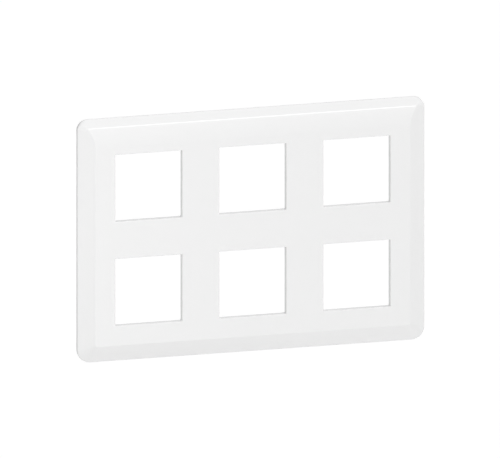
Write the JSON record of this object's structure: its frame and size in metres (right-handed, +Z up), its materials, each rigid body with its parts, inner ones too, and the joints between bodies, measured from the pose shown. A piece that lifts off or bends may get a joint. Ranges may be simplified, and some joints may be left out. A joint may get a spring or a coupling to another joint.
{
  "type": "switch plate",
  "caption": "Landscape moulded cover plate with a grid of square windows for wiring modules, bevelled sides and a ridge along its top.",
  "frame": {"origin": "on the wall face, at the centre of the group of windows", "axes": "+X to the right along the wall, +Y into the wall, +Z up; the face looks along -Y"},
  "size_m": [0.2368, 0.0078, 0.1655],
  "materials": {
    "plate_plastic": "glossy white moulded plastic"
  },
  "bodies": {
    "root": {"cover_plate": "plate_plastic"}
  },
  "joints": []
}
